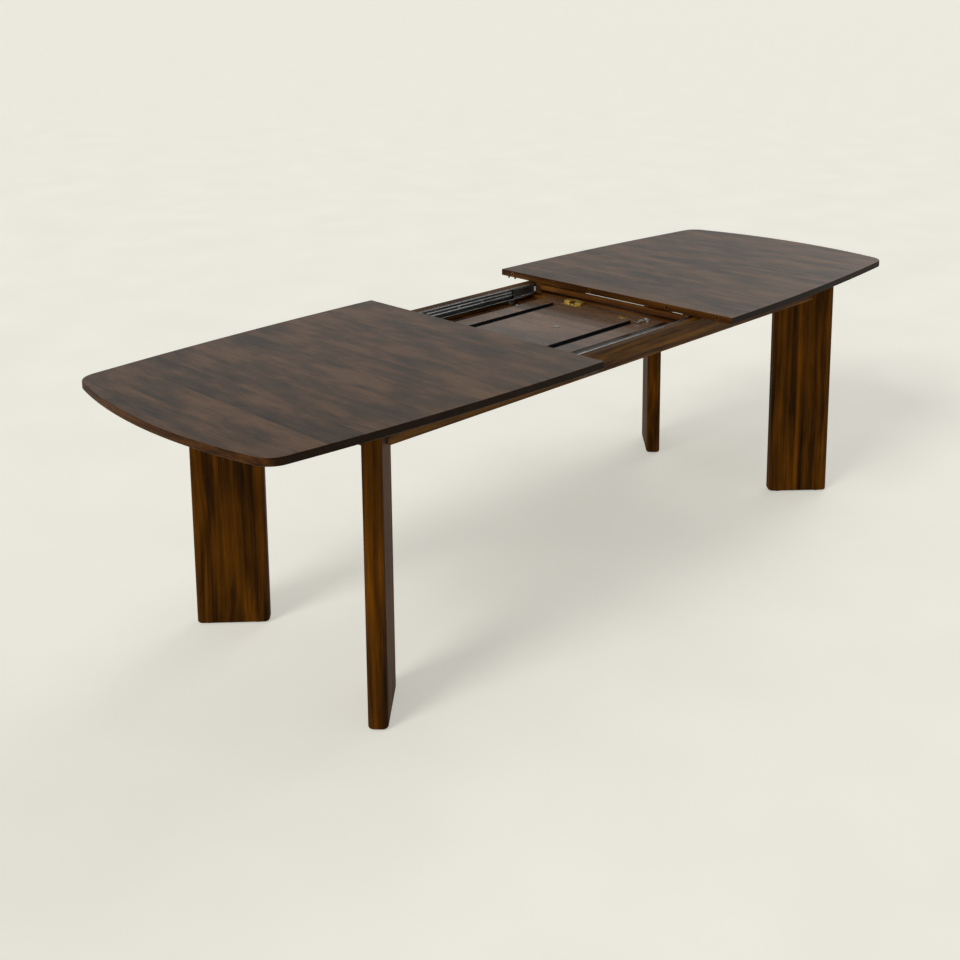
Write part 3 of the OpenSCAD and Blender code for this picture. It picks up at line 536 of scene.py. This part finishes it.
# ---- Folding leaf ----
# Two walnut boards stored face to face, underside up, with black steel channels let into the
# undersides to keep them straight.
leaf_walnut = stained_walnut("satin_stained_walnut_leaf", 1,
                             [(-0.22, "#33241a"), (0.22, "#9a744c"), (-0.09, "#57412d"),
                              (0.0, "#6c503a"), (0.09, "#7f6046")],
                             plank=(0, 0.095), rough=0.24, level=0.6, mix=(0.34, 0.8, 0.16, 0.06),
                             streak_scale=34.0, cloud_scale=7.0, end_dark=0.8)
for level in ("lower", "upper"):
    eased("leaf_%s_board" % level, "leaf_board_" + level, leaf_walnut, 0.0012)
    coat(nodes["leaf_%s_stiffeners" % level], black_enamel)
    coat(nodes["leaf_%s_pins" % level], zinc_plate)
    coat(nodes["leaf_%s_cups" % level], brass_turned)
    eased("leaf_%s_locks" % level, "leaf_lock_set_" + level, nickel, 0.0004,
          choose=fillet, steps=2)
    eased("leaf_lever_" + level, "leaf_lock_lever_" + level, nickel, 0.0006,
          choose=fillet, steps=2)


# ---- Leaf catch and discs ----
# A brass double catch, a steel strike disc and a brass disc on the stored leaf's upper face.
satin = brushed_metal("satin_nickel_plated_disc", "#a9a7a2", "#cfcdc8", 0.35)
eased("leaf_catch", "leaf_catch_blocks", brass_turned, 0.0012, steps=3)
coat(nodes["magnet_disc"], satin)
coat(nodes["brass_disc"], brass_turned)


# ---- Catch plate and its screws ----
# A thin brass plate under the double catch, held by four domed brass screws, and a turned brass
# knuckle on each catch block.
low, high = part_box("leaf_catch")
board_z = low.z
middle = (low + high) / 2
bpy.ops.mesh.primitive_cube_add(size=1, location=(low.x - 0.011, middle.y, board_z + 0.0009))
plate = bpy.context.object
plate.name = "catch_plate"
bpy.ops.transform.resize(value=(0.020, 0.062, 0.0016))
bpy.ops.object.transform_apply(location=True, rotation=True, scale=True)
bpy.ops.object.mode_set(mode="EDIT")
bpy.ops.mesh.select_all(action="SELECT")
bpy.ops.mesh.bevel(offset=0.0005, segments=2, affect="EDGES")
bpy.ops.object.mode_set(mode="OBJECT")
bpy.ops.object.shade_smooth_by_angle(angle=radians(40))
bpy.ops.mesh.primitive_uv_sphere_add(segments=24, ring_count=12, radius=0.0034, location=(0, 0, 0))
dome = bpy.context.object
bpy.ops.object.mode_set(mode="EDIT")
bpy.ops.mesh.select_all(action="SELECT")
bpy.ops.mesh.bisect(plane_co=(0, 0, 0.0008), plane_no=(0, 0, 1), use_fill=True, clear_inner=True)
bpy.ops.object.mode_set(mode="OBJECT")
bpy.ops.object.shade_smooth_by_angle(angle=radians(60))
bpy.ops.mesh.primitive_cylinder_add(vertices=32, radius=0.0036, depth=0.020, location=(0, 0, 0),
                                    rotation=(radians(90), 0, 0))
knuckle = bpy.context.object
bpy.ops.object.transform_apply(location=True, rotation=True, scale=True)
bpy.ops.object.mode_set(mode="EDIT")
bpy.ops.mesh.select_all(action="SELECT")
bpy.ops.mesh.bevel(offset=0.0008, segments=2, affect="EDGES")
bpy.ops.object.mode_set(mode="OBJECT")
bpy.ops.object.shade_smooth_by_angle(angle=radians(40))
fixings = [plate]
for pattern, name, spots in (
        (dome, "catch_screw", [(-0.011, y, 0.0009) for y in (-0.024, -0.008, 0.008, 0.024)]),
        (knuckle, "catch_knuckle", [(-0.0022, -0.022, 0.0040), (-0.0022, 0.022, 0.0040)])):
    for i, (x, y, z) in enumerate(spots):
        one = bpy.data.objects.new("%s_%d" % (name, i + 1), pattern.data.copy())
        bpy.context.scene.collection.objects.link(one)
        for corner in one.data.vertices:
            corner.co += Vector((low.x + x, middle.y + y, board_z + z))
        fixings.append(one)
    bpy.data.objects.remove(pattern)
for piece in fixings:
    coat(piece, brass_turned)
    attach(piece, nodes["leaf_catch"]["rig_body"])
